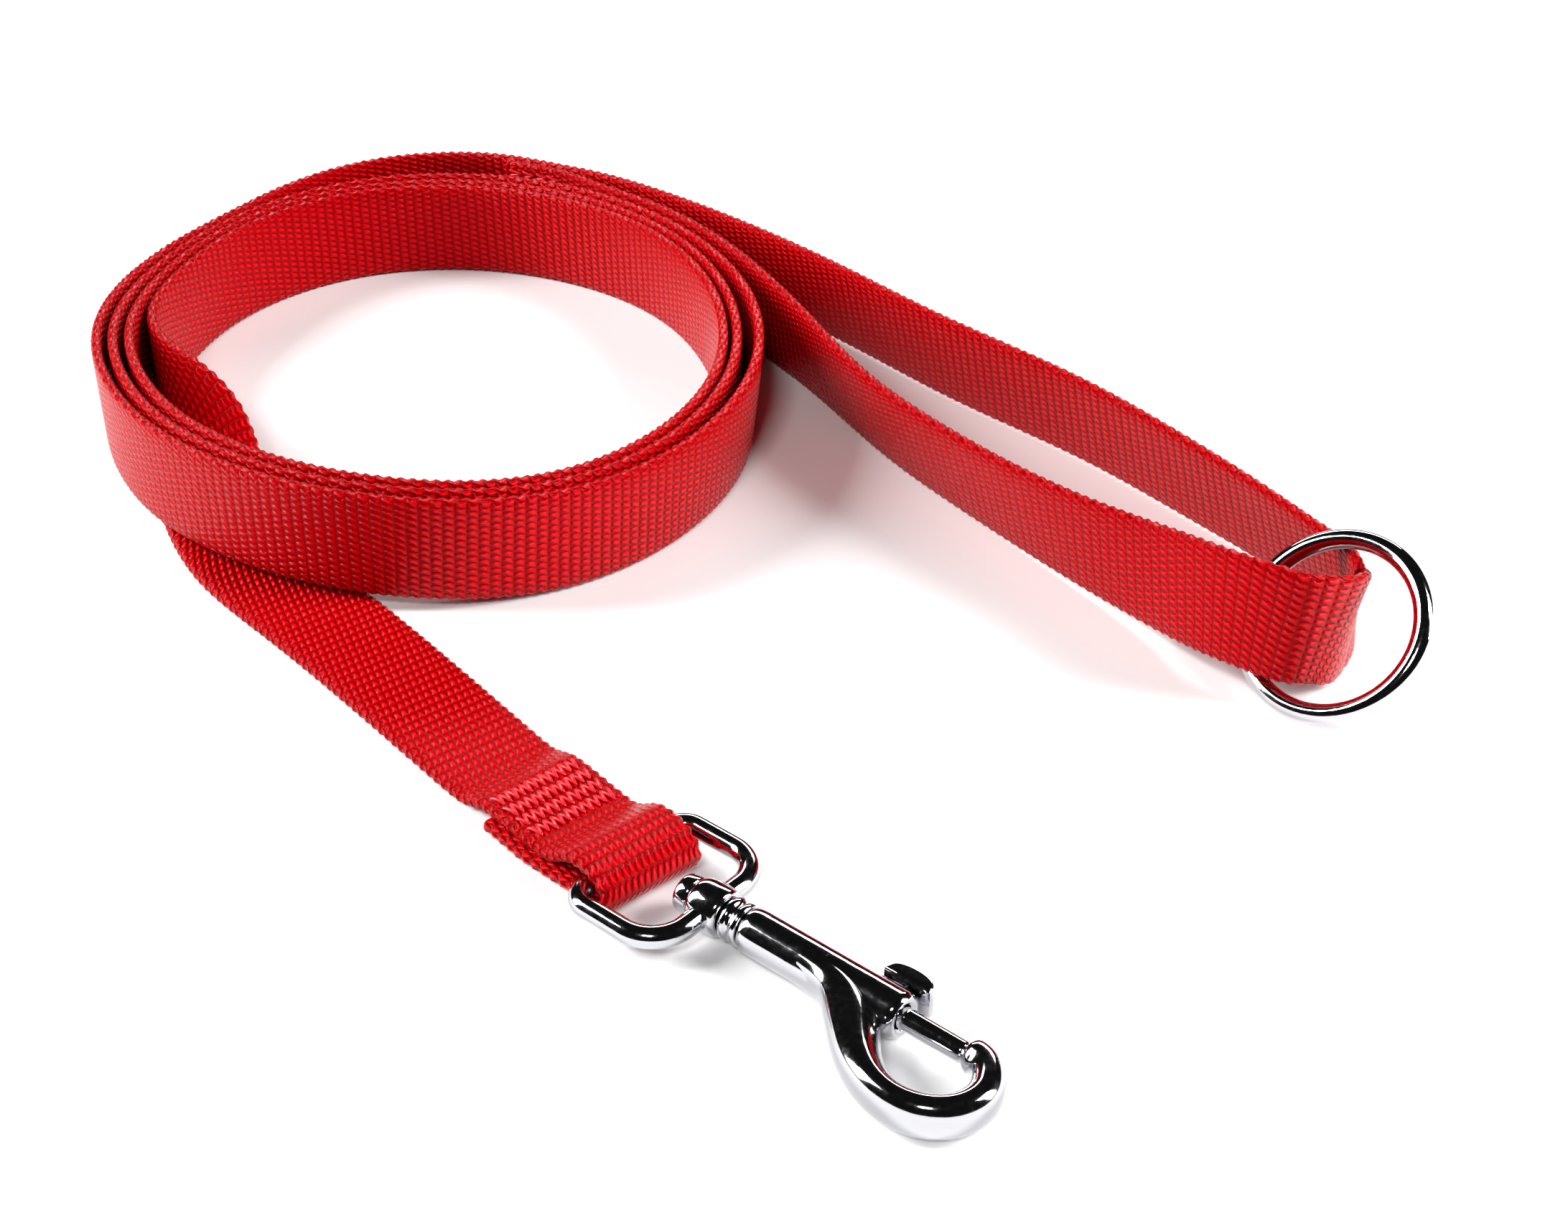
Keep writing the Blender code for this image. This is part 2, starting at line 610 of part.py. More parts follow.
def make_knob(finish):
    """The thumb knob: a half-round pad with its flat side to the barrel, on a stem."""
    flat = BARREL_DIAMETER / 2 + KNOB_STAND_OFF
    half = KNOB_LONG / 2
    arc = np.radians(np.linspace(0, 180, 13))
    rings = []
    top = KNOB_TALL / 2
    for height, inset in ((-top, CHAMFER), (CHAMFER - top, 0), (top - CHAMFER, 0), (top, CHAMFER)):
        deep = KNOB_DEEP - 2 * inset
        rings.append([
            (STEM_U + (half - inset) * math.cos(a),
             flat + inset + deep * math.sin(a) ** KNOB_ROUNDING,
             height) for a in arc])
    mesh = in_snap(grid_mesh("thumb_knob", np.array(rings)))
    knob = new_object("thumb_knob", mesh, finish, snap_point(STEM_U))
    stem = stem_mesh("knob_stem", STEM_DIAMETER / 2, -STEM_DEPTH, flat + 1)
    combine(knob, tool("knob_stem", in_snap(stem)), "UNION")
    return smooth_shaded(knob)


def make_spring(finish):
    """The coil spring behind the bolt."""
    start, end = BORE_START_U + GAP + SPRING_WIRE / 2, BOLT_REAR_U - GAP - SPRING_WIRE / 2
    share = np.arange(SPRING_TURNS * SPRING_STEPS + 1) / (SPRING_TURNS * SPRING_STEPS)
    angle = share * SPRING_TURNS * 2 * math.pi
    path = np.stack([
        start + share * (end - start), SPRING_RADIUS * np.cos(angle), SPRING_RADIUS * np.sin(angle)], axis=1)
    mesh = in_snap(swept("return_spring", path, (1, 0, 0), 6, SPRING_WIRE / 2))
    return smooth_shaded(new_object("return_spring", mesh, finish, snap_point(BORE_START_U)))


def make_ring(finish):
    """The round ring threaded on the handle."""
    axis = np.array(RING_AXIS) / np.linalg.norm(RING_AXIS)
    first = np.cross(axis, (0, 0, 1.0))
    first /= np.linalg.norm(first)
    angles = (np.arange(RING_STEPS) * 2 * math.pi / RING_STEPS)[:, None]
    path = RING_RADIUS * (np.cos(angles) * first + np.sin(angles) * np.cross(axis, first))
    mesh = swept("handle_ring", path + RING_CENTRE, axis, 12, RING_WIRE / 2, closed=True)
    return smooth_shaded(new_object("handle_ring", mesh, finish, RING_CENTRE))


def build():
    for obj in list(bpy.data.objects):
        bpy.data.objects.remove(obj, do_unlink=True)
    webbing = material("webbing_red", (0.52, 0.004, 0.008), 0.45, 0.0)
    thread = material("thread_red", (0.62, 0.01, 0.015), 0.5, 0.0)
    plated = material("plated_metal", (0.72, 0.72, 0.73), 0.12, 1.0)
    wire = material("spring_steel", (0.45, 0.45, 0.46), 0.3, 1.0)
    make_webbing(webbing)
    make_seams(thread)
    make_eye(plated)
    make_stud_and_collar(plated)
    make_snap_body(plated)
    make_bolt(plated)
    make_knob(plated)
    make_spring(wire)
    make_ring(plated)


build()
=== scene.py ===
import bpy
import numpy as np
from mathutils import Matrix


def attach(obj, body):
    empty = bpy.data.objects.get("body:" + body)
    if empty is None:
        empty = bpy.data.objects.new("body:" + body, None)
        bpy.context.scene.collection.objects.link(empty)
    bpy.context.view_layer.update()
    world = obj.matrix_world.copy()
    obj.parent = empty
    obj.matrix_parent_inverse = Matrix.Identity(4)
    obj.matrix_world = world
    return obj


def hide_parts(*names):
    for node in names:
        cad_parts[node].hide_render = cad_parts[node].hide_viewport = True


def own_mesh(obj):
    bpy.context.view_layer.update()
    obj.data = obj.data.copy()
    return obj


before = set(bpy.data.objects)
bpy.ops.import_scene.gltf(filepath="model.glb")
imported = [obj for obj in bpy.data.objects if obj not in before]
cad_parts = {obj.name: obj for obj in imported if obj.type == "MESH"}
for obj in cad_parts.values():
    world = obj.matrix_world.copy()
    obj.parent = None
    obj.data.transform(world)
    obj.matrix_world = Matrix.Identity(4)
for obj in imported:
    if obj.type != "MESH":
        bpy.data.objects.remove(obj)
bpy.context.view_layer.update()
mm = 0.001


def linear(hexColour):
    # sRGB hex to the linear values that a shader takes
    s = np.array([int(hexColour[i:i + 2], 16) for i in (1, 3, 5)]) / 255
    return (*np.where(s <= 0.04045, s / 12.92, ((s + 0.055) / 1.055) ** 2.4), 1.0)


def addNode(tree, kind, settings=None, inputs=None):
    # one shader node; an input is given by name or number, as a value or as a socket to link
    node = tree.nodes.new(kind)
    for key, value in (settings or {}).items():
        setattr(node, key, value)
    for key, value in (inputs or {}).items():
        if isinstance(value, bpy.types.NodeSocket):
            tree.links.new(value, node.inputs[key])
        else:
            node.inputs[key].default_value = value
    return node


def newMaterial(name, **inputs):
    made = bpy.data.materials.new(name)
    made.use_nodes = True
    shader = made.node_tree.nodes["Principled BSDF"]
    for key, value in inputs.items():
        shader.inputs[key.replace("_", " ")].default_value = value
    return made, made.node_tree, shader


def pathLengths(rows):
    # how far along the path each row is; a row starts x, y, z
    return np.concatenate([[0], np.cumsum(np.linalg.norm(np.diff(rows[:, :3], axis=0), axis=1))])


def spline(points, step):
    # natural cubic spline through the rows, read at even steps of its length
    rows = np.array(points, float)
    knots = pathLengths(rows)
    gap = np.diff(knots)
    count = len(rows)
    matrix = np.eye(count)
    inner = np.arange(1, count - 1)
    matrix[inner, inner - 1] = gap[:-1]
    matrix[inner, inner] = 2 * (gap[:-1] + gap[1:])
    matrix[inner, inner + 1] = gap[1:]
    slope = np.diff(rows, axis=0) / gap[:, None]
    right = np.zeros_like(rows)
    right[1:-1] = 6 * np.diff(slope, axis=0)
    bend = np.linalg.solve(matrix, right)
    at = np.linspace(0, knots[-1], max(2, round(knots[-1] / step) + 1))
    low = np.clip(np.searchsorted(knots, at, side="right") - 1, 0, count - 2)
    g = gap[low][:, None]
    a = (knots[low + 1] - at)[:, None] / g
    b = 1 - a
    bent = (a**3 - a) * bend[low] + (b**3 - b) * bend[low + 1]
    return a * rows[low] + b * rows[low + 1] + bent * g**2 / 6


def softened(profile, times=3):
    # corners cut again and again, a quarter and three quarters along each side
    rows = np.array(profile, float)
    for _ in range(times):
        cut = np.stack([0.75 * rows[:-1] + 0.25 * rows[1:], 0.25 * rows[:-1] + 0.75 * rows[1:]], axis=1)
        rows = np.vstack([rows[:1], cut.reshape(-1, rows.shape[1]), rows[-1:]])
    return rows


def tubeShell(points, loop=False):
    # faces of a tube whose sections are points[i, :]; flat ends unless it is a loop
    n, m = points.shape[:2]
    index = np.arange(n * m).reshape(n, m)
    a, b = (index, np.roll(index, -1, axis=0)) if loop else (index[:-1], index[1:])
    quads = np.stack([a, np.roll(a, -1, axis=1), np.roll(b, -1, axis=1), b], axis=-1).reshape(-1, 4)
    ends = [] if loop else [index[0][::-1].tolist(), index[-1].tolist()]
    return points.reshape(-1, 3), quads.tolist() + ends


def newPiece(name, shells, body, finish, replaced, sharp=40):
    # shells in metres, joined in one object that rides a body and stands for CAD nodes; it is
    # turned as a whole when its volume comes out below zero, so shells that disagree stay so
    points, faces, base = [], [], 0
    for shellPoints, shellFaces in shells:
        points.append(shellPoints)
        faces += [[v + base for v in face] for face in shellFaces]
        base += len(shellPoints)
    mesh = bpy.data.meshes.new(name)
    mesh.from_pydata(np.vstack(points), [], faces)
    if signedVolume(mesh) < 0:
        mesh.flip_normals()
    mesh.shade_smooth()
    mesh.set_sharp_from_angle(angle=np.radians(sharp))
    mesh.materials.append(finish)
    obj = bpy.data.objects.new(name, mesh)
    bpy.context.scene.collection.objects.link(obj)
    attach(obj, body)
    if replaced:
        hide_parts(*replaced)
    return obj


def signedVolume(mesh):
    # a sixth of the triangles' triple products, over all of the mesh
    mesh.calc_loop_triangles()
    co = np.empty(len(mesh.vertices) * 3)
    mesh.vertices.foreach_get("co", co)
    tris = np.empty(len(mesh.loop_triangles) * 3, int)
    mesh.loop_triangles.foreach_get("vertices", tris)
    corner = co.reshape(-1, 3)[tris].reshape(-1, 3, 3)
    return np.einsum("ij,ij->i", corner[:, 0], np.cross(corner[:, 1], corner[:, 2])).sum() / 6


def sweptWire(path, across, radius, sides, loop=False):
    # a round section carried along a path; across is a direction that the path never takes
    ahead = np.roll(path, -1, axis=0) - np.roll(path, 1, axis=0) if loop else np.gradient(path, axis=0)
    ahead /= np.linalg.norm(ahead, axis=1)[:, None]
    side = np.cross(across, ahead)
    side /= np.linalg.norm(side, axis=1)[:, None]
    other = np.cross(ahead, side)
    t = (np.arange(sides) * 2 * np.pi / sides)[None, :, None]
    r = np.broadcast_to(np.asarray(radius, float), len(path))[:, None, None]
    return path[:, None] + r * (np.cos(t) * side[:, None] + np.sin(t) * other[:, None])


centreHole = 0.02  # radius left open at a turned piece's middle, and closed by a flat end


def lathe(profile, sides=72):
    # a profile of (distance along u, radius) turned round the u axis
    rows = np.array(profile, float)
    t = np.arange(sides) * 2 * np.pi / sides
    u = np.repeat(rows[:, :1], sides, axis=1)
    return np.stack([u, rows[:, 1:2] * np.cos(t), rows[:, 1:2] * np.sin(t)], axis=-1)


# Lengths are in millimetres and angles in degrees, as in the part; mm turns lengths to metres
# where meshes are made. The shift puts the part's origin where its record says.
layout = {
    "shift": (0.71, -2.61, 0.052),
    "snapStart": (8.9, -117.5), "snapHeading": -40.5, "snapHeight": 4.8,
    "foldHeading": -49.3, "crossbar": -25.5,
}
shift = np.array(layout["shift"])
turn = np.radians(layout["snapHeading"])
snapAxes = np.array(((np.cos(turn), np.sin(turn), 0), (-np.sin(turn), np.cos(turn), 0), (0, 0, 1.0)))
snapOrigin = np.array((*layout["snapStart"], layout["snapHeight"]))


def inSnap(points):
    # from (u along the snap, q across it away from the hook, w up) to the world, in metres
    return (points @ snapAxes + snapOrigin + shift) * mm


view = {"place": (17.5, -421.0, 274.0), "down": 34.0, "lens": 53.57}
camera = bpy.data.cameras.new("camera")
camera.lens = view["lens"]
camera.sensor_width = 36
camera.clip_start = 0.01
cameraObject = bpy.data.objects.new("camera", camera)
cameraObject.location = (np.array(view["place"]) + shift) * mm
cameraObject.rotation_euler = (np.radians(90 - view["down"]), 0, 0)
bpy.context.scene.collection.objects.link(cameraObject)
bpy.context.scene.camera = cameraObject

webbingLook = {
    # painted light: the groove colour is painted shade for the low parts, the crest colour a painted
    # highlight for the high parts
    "body": "#CE0004", "paintedGrooveShade": "#880001", "paintedCrestHighlight": "#E80616",
    "pickMm": 2.4, "rowMm": 1.6,  # one float of yarn along the webbing and across it
    "relief": 0.85, "slant": 0.35, "narrowing": 0.9, "roughness": 0.26,
}


def wovenNylon():
    # nylon filament webbing in a heavy broken twill: each float is a small raised scale that catches the
    # light on its rounded back, with deep shade between the floats;
    # the colour ramp also paints that shade into the low grooves and a highlight onto the crests, over the
    # body red
    look = webbingLook
    made, tree, shader = newMaterial("nylonWebbingWoven", Roughness=look["roughness"])
    uv = addNode(tree, "ShaderNodeUVMap", {"uv_map": "cloth"})
    # small wander of the yarns, so that no two floats are quite alike
    wander = addNode(tree, "ShaderNodeTexNoise", {"noise_dimensions": "2D"},
                     {"Vector": uv.outputs[0], "Scale": 0.55, "Detail": 2.0})
    sewn = addNode(tree, "ShaderNodeAttribute", {"attribute_name": "sewn"})
    # needle holes and pulled yarns push the floats about where it is sewn
    push = addNode(tree, "ShaderNodeMath", {"operation": "MULTIPLY_ADD"},
                   {0: sewn.outputs["Fac"], 1: 1.7, 2: 0.30})
    level = addNode(tree, "ShaderNodeVectorMath", {"operation": "SUBTRACT"},
                    {0: wander.outputs["Color"], 1: (0.5, 0.5, 0.5)})
    pushed = addNode(tree, "ShaderNodeVectorMath", {"operation": "SCALE"},
                     {0: level.outputs[0], "Scale": push.outputs[0]})
    moved = addNode(tree, "ShaderNodeVectorMath", {"operation": "ADD"},
                    {0: uv.outputs[0], 1: pushed.outputs[0]})
    parts = addNode(tree, "ShaderNodeSeparateXYZ", None, {0: moved.outputs[0]})

    def math(operation, *values):
        return addNode(tree, "ShaderNodeMath", {"operation": operation},
                       dict(enumerate(values))).outputs[0]

    along = math("DIVIDE", parts.outputs[0], look["pickMm"])
    column = math("FLOOR", along)
    inColumn = math("SUBTRACT", along, column)
    # every second column stands half a row higher, and the floats lie a little aslant
    stagger = math("MULTIPLY", math("FLOORED_MODULO", column, 2.0), 0.5)
    across = math("ADD", math("DIVIDE", parts.outputs[1], look["rowMm"]), stagger)
    slanted = math("MULTIPLY_ADD", inColumn, look["slant"], across)
    inRow = math("FRACT", slanted)
    # dome across the float, 1 at its middle; it narrows to a point, so each float is a scale
    offset = math("MULTIPLY", math("MULTIPLY_ADD", inRow, 2.0, -1.0),
                  math("MULTIPLY_ADD", inColumn, look["narrowing"], 0.75))
    dome = math("MAXIMUM", math("SUBTRACT", 1.0, math("MULTIPLY", offset, offset)), 0.0)
    # along the float it climbs slowly and drops fast under the next pick
    climb = addNode(tree, "ShaderNodeMapRange", {"interpolation_type": "SMOOTHSTEP"},
                    {"Value": inColumn, "From Min": -0.1, "From Max": 0.55}).outputs[0]
    drop = addNode(tree, "ShaderNodeMapRange", {"interpolation_type": "SMOOTHSTEP"},
                   {"Value": inColumn, "From Min": 1.0, "From Max": 0.62}).outputs[0]
    height = math("MULTIPLY", dome, math("MULTIPLY", climb, drop))
    # filaments, as streaks about 0.4 mm across, coarser than real ones so that they show at all
    filament = addNode(tree, "ShaderNodeTexNoise", {"noise_dimensions": "2D"},
                       {"Vector": moved.outputs[0], "Scale": 2.4, "Detail": 3.0, "Roughness": 0.6})
    relief = math("MULTIPLY_ADD", filament.outputs[0], 0.16, height)
    # the height picks the colour: painted shade (groove colour) low down, body red in the middle, painted
    # highlight (crest colour) on top
    colourWithPaintedLight = addNode(tree, "ShaderNodeValToRGB", None, {0: relief})
    ramp = colourWithPaintedLight.color_ramp
    ramp.elements[0].position, ramp.elements[0].color = 0.08, linear(look["paintedGrooveShade"])
    ramp.elements[1].position, ramp.elements[1].color = 1.0, linear(look["paintedCrestHighlight"])
    middle = ramp.elements.new(0.45)
    middle.color = linear(look["body"])
    tree.links.new(colourWithPaintedLight.outputs[0], shader.inputs["Base Color"])
    bump = addNode(tree, "ShaderNodeBump", None,
                   {"Strength": 1.0, "Distance": look["relief"] * mm, "Height": relief})
    tree.links.new(bump.outputs[0], shader.inputs["Normal"])
    shader.inputs["Specular IOR Level"].default_value = 0.45
    shader.inputs["Specular Tint"].default_value = linear("#FF2A44")
    return made


def polyesterThread():
    # bonded polyester sewing thread, twisted: glossy, with its plies as slanting ribs
    made, tree, shader = newMaterial("polyesterThreadTwisted", Roughness=0.32)
    shader.inputs["Base Color"].default_value = linear("#D80F20")
    place = addNode(tree, "ShaderNodeTexCoord")
    plies = addNode(tree, "ShaderNodeTexWave", {"bands_direction": "DIAGONAL"},
                    {"Vector": place.outputs["Object"], "Scale": 400.0, "Distortion": 1.0})
    bump = addNode(tree, "ShaderNodeBump", None,
                   {"Strength": 0.6, "Distance": 0.12 * mm, "Height": plies.outputs["Fac"]})
    tree.links.new(bump.outputs[0], shader.inputs["Normal"])
    return made


def platedMetal(name, colour, roughness, ripple):
    # bright chrome over nickel: mirror-like, with the slow ripple of the polished casting or
    # drawn wire under it, and faint rubbing that makes some patches a little duller
    made, tree, shader = newMaterial(name, Metallic=1.0, Base_Color=linear(colour))
    place = addNode(tree, "ShaderNodeTexCoord")
    slow = addNode(tree, "ShaderNodeTexNoise", None,
                   {"Vector": place.outputs["Object"], "Scale": 260.0, "Detail": 2.0})
    rubbed = addNode(tree, "ShaderNodeTexNoise", None,
                     {"Vector": place.outputs["Object"], "Scale": 900.0, "Detail": 4.0})
    dull = addNode(tree, "ShaderNodeMapRange", None,
                   {"Value": rubbed.outputs[0], "From Min": 0.35, "From Max": 0.75,
                    "To Min": roughness, "To Max": roughness + 0.07})
    tree.links.new(dull.outputs[0], shader.inputs["Roughness"])
    bump = addNode(tree, "ShaderNodeBump", None,
                   {"Strength": 0.35, "Distance": ripple * mm, "Height": slow.outputs[0]})
    tree.links.new(bump.outputs[0], shader.inputs["Normal"])
    return made


webbing = wovenNylon()
thread = polyesterThread()
castChrome = platedMetal("chromePlatedZincCast", "#C6C6CA", 0.06, 0.12)
wireChrome = platedMetal("chromePlatedSteelDrawn", "#CCCCD0", 0.05, 0.06)
springSteel = platedMetal("springSteelDrawn", "#A9A9AC", 0.28, 0.02)
print("materials made")

strap = {
    "width": 25.0, "thick": 2.4, "gap": 0.3, "squeeze": 0.885,
    "lap": 27.5,  # of the cut end under the strap, back from the crossbar
    "drawsIn": (16.0, 4.0),  # before the crossbar, from its full width to its narrowest
    "widensOver": 100.0,  # from the eye until it is back at its full width
    "selvedge": 0.9,  # share of the half width where the selvedge begins
    "step": 0.62,  # between the sections of the finished surface
    "hookSewn": (1.0, 15.0), "handleSewn": 16.0, "sewnFade": 3.0,
    "scallop": 0.24,  # how far the selvedge goes in and out at each pick
    "beat": 0.05,  # share of the thickness that comes and goes with the picks, each way
}
coil = {
    "centre": (-64.1, 71.2), "halfWidth": 65.8, "halfDepth": 78.2, "turned": 19.2, "steps": 16,
    # how far each turn lies outside the first ellipse, and leans out, at eight places of a turn
    "out": (0.0, 0.3, -0.8, 0.8, 0.0, 0.8, 2.4, 3.9, 3.9, 3.3, 2.6, 4.0, 3.0, 4.0, 5.6, 7.6,
            7.6, 6.1, 6.8, 7.5, 7.4, 8.0, 9.3, 11.2, 11.3, 9.2),
    "lean": (0, -1, -3, -2, 1, 1, 0, 0, 0, -1, -3, -2, 2, 2, 0, 0, 0, -1, -3, -1, 6, 5, 1, 0, 0, -1),
    "crossing": -128.0, "spread": 72.0, "lift": 4.2,
}
# the loop round the crossbar: along the fold, height
loopRoute = ((0.0, 1.2), (3.8, 1.35), (6.3, 2.7), (7.0, 5.0), (5.0, 7.6), (1.0, 8.8), (-3.2, 8.3),
             (-7.5, 5.8), (-11.0, 4.1), (-14.5, 3.9))
# the routes below are x, y and lean, and on the handle also the lift off the floor
riseRoute = ((-84.5, -13.5, -90), (-96.5, 0.5, -90), (-105.0, 15.0, -90), (-111.0, 29.5, -82),
             (-115.9, 42.6, -50), (-124.2, 55.0, -17))
handleRoute = (
    (-109.0, 151.5, -1, 0), (-99.0, 160.2, -2, 0), (-88.0, 166.2, -4, 0), (-73.5, 169.3, -5, 0),
    (-58.6, 168.0, -5, 0), (-43.4, 162.4, -7, 0), (-28.8, 155.4, -8, 0), (-17.3, 148.2, -10, 0),
    (5.0, 130.0, -12, 0), (32.1, 102.4, -13, 0), (57.3, 73.3, -13, 0), (84.6, 45.2, -14, 0),
    (106.0, 18.0, -16, 0), (123.5, -7.5, -19, 0), (130.2, -21.5, -15, 0), (131.6, -31.0, -5, 0),
    (129.2, -39.2, 5, 0.2), (124.8, -45.6, 5, 3.5), (118.8, -48.2, -3, 5.1),
    (110.2, -45.2, -5, 5.9), (92.5, -25.0, 2, 2.5), (79.0, -8.7, 10, 0.8), (57.0, 19.5, 17, 0),
    (39.6, 45.0, 17, 0), (25.2, 74.0, 12, 0), (11.2, 99.5, 4, 0), (2.6, 112.9, 0, 0),
    (-7.0, 126.2, 0, 0), (-19.2, 138.8, 1, 0), (-30.8, 148.8, 4, 0))
lapX = (-40.0, -47.0, -55.0)  # where the handle's end lies along its first stretch


def middleHeight(lean):
    # the webbing's middle above its lowest corner
    a = np.radians(np.abs(lean))
    return (strap["width"] * np.cos(a) + strap["thick"] * np.sin(a)) / 2


def foldPoint(u, z):
    a = np.radians(layout["foldHeading"])
    start = snapOrigin[:2] + layout["crossbar"] * snapAxes[0, :2]
    return (*(start + u * np.array((np.cos(a), np.sin(a)))), z, -90)


def foldRows():
    under = [foldPoint(-share * strap["lap"], strap["thick"] / 2) for share in (1, 0.6, 0.3)]
    return under + [foldPoint(u, z) for u, z in loopRoute]


def leadRows():
    # over its own cut end, down to the floor past it, then up on edge along the rise
    flat, lap = strap["thick"] / 2, strap["lap"]
    start, top = loopRoute[-1]
    rows = [foldPoint(u, z) for u, z in (
        (start, top), (start - 5, top), (1 - lap, top + 0.1), (-lap - 3, top - 0.3),
        (-lap - 9, flat + 0.3), (-lap - 15, flat))]
    return rows + [(x, y, middleHeight(lean), lean) for x, y, lean in riseRoute]


def coilRows():
    # an ellipse's radius plus how far out the turn lies; lifted where it rides over the strap
    places = np.arange((len(coil["out"]) - 1) * coil["steps"] // 8 + 1)
    angle = 180 - 360 * places / coil["steps"]
    a = np.radians(angle - coil["turned"])
    radius = 1 / np.hypot(np.cos(a) / coil["halfWidth"], np.sin(a) / coil["halfDepth"])
    at = places * 8 / coil["steps"]
    radius += np.interp(at, np.arange(len(coil["out"])), coil["out"])
    lean = np.interp(at, np.arange(len(coil["lean"])), coil["lean"])
    away = np.minimum(np.abs((angle - coil["crossing"] + 180) % 360 - 180) / coil["spread"], 1)
    lift = np.where(places > coil["steps"] / 2, coil["lift"] * (1 - away**3) ** 2, 0)
    t = np.radians(angle)
    return np.stack([coil["centre"][0] + radius * np.cos(t), coil["centre"][1] + radius * np.sin(t),
                     middleHeight(lean) + lift, lean], axis=1).tolist()


def handleRows():
    rows = [(x, y, middleHeight(lean) + lift, lean) for x, y, lean, lift in handleRoute]
    outer = spline(rows[:10], 1.0)
    for x in lapX:
        at = np.argmin(abs(outer[:, 0] - x))
        heading = outer[at + 1, :2] - outer[at - 1, :2]
        heading /= np.linalg.norm(heading)
        inside = (strap["thick"] + 1.6 * strap["gap"]) * np.array((heading[1], -heading[0]))
        rows.append((*(outer[at, :2] + inside), outer[at, 2], -outer[at, 3]))
    return rows


def strapFrame(rows, heading=None):
    # along, tall and face directions; positive lean tips the top to the left of the travel
    ahead = np.gradient(rows[:, :3], axis=0)
    ahead /= np.linalg.norm(ahead, axis=1)[:, None]
    level = ahead * (1, 1, 0) if heading is None else np.tile(heading, (len(rows), 1))
    level = level / np.linalg.norm(level, axis=1)[:, None]
    side = np.cross((0, 0, 1.0), level)
    a = np.radians(rows[:, 3])[:, None]
    tall = np.cos(a) * np.array((0, 0, 1.0)) + np.sin(a) * side
    tall -= (tall * ahead).sum(axis=1)[:, None] * ahead
    tall /= np.linalg.norm(tall, axis=1)[:, None]
    return ahead, tall, np.cross(ahead, tall)


fold = spline(foldRows(), 0.4)
back = np.radians(layout["foldHeading"] + 180)
foldFrame = strapFrame(fold, (np.cos(back), np.sin(back), 0))
run = spline(leadRows() + coilRows() + handleRows(), strap["step"])
run[:, 2] = np.maximum(run[:, 2], middleHeight(run[:, 3]))
runFrame = strapFrame(run)
walked = pathLengths(run)
foldLong = pathLengths(fold)[-1]


def webbingPiece():
    # one closed ribbon: a flat section with rounded selvedges, carried along fold and run
    rows = np.vstack([fold[:-1], run])
    ahead, tall, face = (np.vstack([a[:-1], b]) for a, b in zip(foldFrame, runFrame))
    along = np.concatenate([pathLengths(fold)[:-1], foldLong + walked])
    lap = strap["lap"]
    share = np.concatenate([
        np.interp(pathLengths(fold)[:-1], lap - np.array(strap["drawsIn"]), (1, strap["squeeze"])),
        np.interp(walked, (0, strap["widensOver"]), (strap["squeeze"], 1))])
    a = np.array((-1, -0.985, -0.94, -0.7, -0.35, 0, 0.35, 0.7, 0.94, 0.985, 1))
    b = np.array((0, 0.62, 0.96, 1, 1, 1, 1, 1, 0.96, 0.62, 0))
    a, b = np.concatenate([a, a[-2:0:-1]]), np.concatenate([b, -b[-2:0:-1]])
    wave = 2 * np.pi * along / webbingLook["pickMm"]
    # the selvedges go in and out with the picks, out of step with each other
    upper, lower = a > strap["selvedge"], a < -strap["selvedge"]
    scallop = strap["scallop"] * (np.cos(wave)[:, None] * upper + np.sin(wave)[:, None] * lower)
    beat = 1 - strap["beat"] * (1 - np.cos(wave))
    drawnIn = np.sign(a) * (strap["scallop"] - scallop) * (abs(a) > strap["selvedge"])
    wide = share[:, None] * strap["width"] / 2 * a - drawnIn
    thick = strap["thick"] / 2 * b * beat[:, None]
    points = rows[:, None, :3] + wide[..., None] * tall[:, None] + thick[..., None] * face[:, None]
    piece = newPiece("webbing", [tubeShell((points + shift) * mm)], "strap", webbing,
                     ["webbing_hook_end", "webbing_coil", "webbing_handle"], 70)
    # the cloth's own map in millimetres: along the strap, and round its section
    n, m = points.shape[:2]
    mesh = piece.data
    corner = np.empty(len(mesh.loops), int)
    mesh.loops.foreach_get("vertex_index", corner)
    section = np.stack([a * strap["width"] / 2, b * strap["thick"] / 2, 0 * a], axis=1)
    roundIt = pathLengths(section)
    first = np.empty(len(mesh.polygons), int)
    mesh.polygons.foreach_get("loop_start", first)
    v = roundIt[corner % m]
    sides = np.diff(np.append(first, len(corner)))
    inFace = np.repeat(np.arange(len(sides)), sides)
    highest = np.maximum.reduceat(v, first)[inFace]
    lastBack = roundIt[-1] + roundIt[1]
    v = np.where((v == 0) & (highest > roundIt[m // 2]) & (sides[inFace] == 4), lastBack, v)
    layer = mesh.uv_layers.new(name="cloth")
    layer.data.foreach_set("uv", np.stack([along[corner // m], v], axis=1).ravel())
    sewn = mesh.attributes.new("sewn", "FLOAT", "POINT")
    (near, far), fade = np.array(strap["hookSewn"]) + foldLong, strap["sewnFade"]
    hookSewn = np.interp(along, (near - fade, near, far, far + fade), (0, 1, 1, 0))
    begin = along[-1] - strap["handleSewn"]
    handleSewn = np.interp(along, (begin - fade, begin, along[-1]), (0, 1, 1))
    sewn.data.foreach_set("value", np.repeat(np.maximum(hookSewn, handleSewn), m).astype(np.float32))
    return along[-1]


strapLength = webbingPiece()
print("webbing made, length in mm:", round(strapLength))

stitching = {
    "rows": 4, "pitch": 3.8, "margin": 2.2,
    "hookAt": 1.5, "handleBack": 3.0,
    "thread": 0.62, "loft": 0.30,  # its thickness, and how far it stands up between needle holes
    "stitch": 0.78, "swing": 3.1,  # length of a stitch across the webbing, and the zigzag's depth
}


